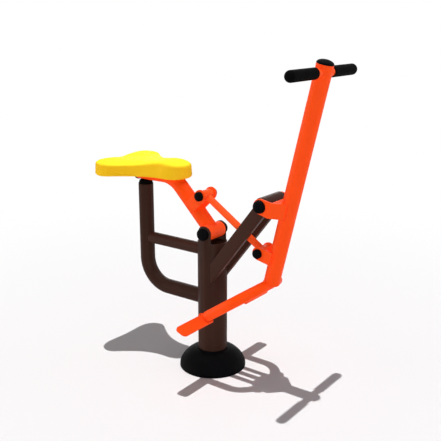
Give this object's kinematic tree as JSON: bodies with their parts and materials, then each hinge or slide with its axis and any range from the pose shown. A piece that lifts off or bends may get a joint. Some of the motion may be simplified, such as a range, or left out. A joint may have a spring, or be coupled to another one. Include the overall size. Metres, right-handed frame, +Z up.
{
  "type": "outdoor gym rider",
  "caption": "Outdoor gym rider: a moulded seat on a bent arm and a handle lever with a footrest rock together, joined by a link rod, on a bolted-down ground post.",
  "frame": {"origin": "centre of the main post's flange on the ground", "axes": "+Z up the post, +X forward from the seat to the handle lever, +Y to the rider's left"},
  "size_m": [0.9709, 0.556, 1.2133],
  "materials": {
    "brown_steel": "dark brown powder coat, semi-gloss",
    "orange_steel": "bright orange powder coat, semi-gloss",
    "bright_steel": "plain zinc-plated steel",
    "black_plastic": "moulded, smooth",
    "black_rubber": "moulded, matt",
    "yellow_plastic": "moulded, semi-gloss",
    "pale_nylon": "machined nylon"
  },
  "bodies": {
    "frame": {"anchor_bolt_1": "bright_steel", "anchor_bolt_2": "bright_steel", "anchor_bolt_3": "bright_steel", "anchor_bolt_4": "bright_steel", "base_cover": "black_plastic", "base_flange": "brown_steel", "main_post": "brown_steel", "post_top_plate": "brown_steel", "rear_stop_frame": "brown_steel", "rear_brace": "brown_steel", "stop_buffer": "black_rubber", "front_arm_right": "brown_steel", "front_arm_left": "brown_steel", "front_pivot_tube": "brown_steel", "front_bush_right": "pale_nylon", "front_bush_left": "pale_nylon", "seat_axle": "bright_steel", "seat_axle_nut": "bright_steel", "seat_pivot_cap_right": "black_plastic", "seat_pivot_cap_left": "black_plastic"},
    "seat_arm": {"seat_arm_tube": "orange_steel", "seat_pivot_housing": "orange_steel", "seat_bush_right": "pale_nylon", "seat_bush_left": "pale_nylon", "seat_arm_end_cap": "black_plastic", "seat_bracket": "bright_steel", "seat_bolt_1": "bright_steel", "seat_bolt_2": "bright_steel", "seat_bolt_3": "bright_steel", "seat_bolt_4": "bright_steel", "seat": "yellow_plastic", "upper_lug_right": "orange_steel", "upper_lug_left": "orange_steel", "upper_pin": "bright_steel", "upper_pin_nut": "bright_steel", "upper_pin_cap_right": "black_plastic", "upper_pin_cap_left": "black_plastic"},
    "lever": {"lever_post": "orange_steel", "lever_top_cap": "black_plastic", "handlebar": "orange_steel", "grip_right": "black_rubber", "grip_left": "black_rubber", "fork_plate_right": "orange_steel", "fork_plate_left": "orange_steel", "lever_axle": "bright_steel", "lever_axle_nut": "bright_steel", "lever_pivot_cap_right": "black_plastic", "lever_pivot_cap_left": "black_plastic", "lower_lug_right": "orange_steel", "lower_lug_left": "orange_steel", "lower_pin": "bright_steel", "lower_pin_nut": "bright_steel", "lower_pin_cap_right": "black_plastic", "lower_pin_cap_left": "black_plastic", "footrest_tube": "orange_steel", "pedal_right": "orange_steel", "pedal_left": "orange_steel"},
    "link": {"link_rod": "orange_steel", "link_bush_upper": "pale_nylon", "link_bush_lower": "pale_nylon"}
  },
  "joints": [
    {"name": "lever_hinge", "type": "hinge", "parent": "frame", "child": "lever", "pos_m": [0.262, 0, 0.7065], "axis": [0, 1, 0], "range_deg": [-17, 0]},
    {"name": "seat_hinge", "type": "hinge", "parent": "frame", "child": "seat_arm", "pos_m": [0, 0, 0.555], "axis": [0, 1, 0], "range_deg": [0, 24]},
    {"name": "link_hinge", "type": "hinge", "parent": "seat_arm", "child": "link", "pos_m": [-0.031, 0, 0.694], "axis": [0, 1, 0], "range_deg": [-23.5, 0]}
  ],
  "couplings": [
    {"joint": "seat_hinge", "follows": "lever_hinge", "ratio": -1.4063},
    {"joint": "link_hinge", "follows": "lever_hinge", "ratio": 1.3537}
  ]
}
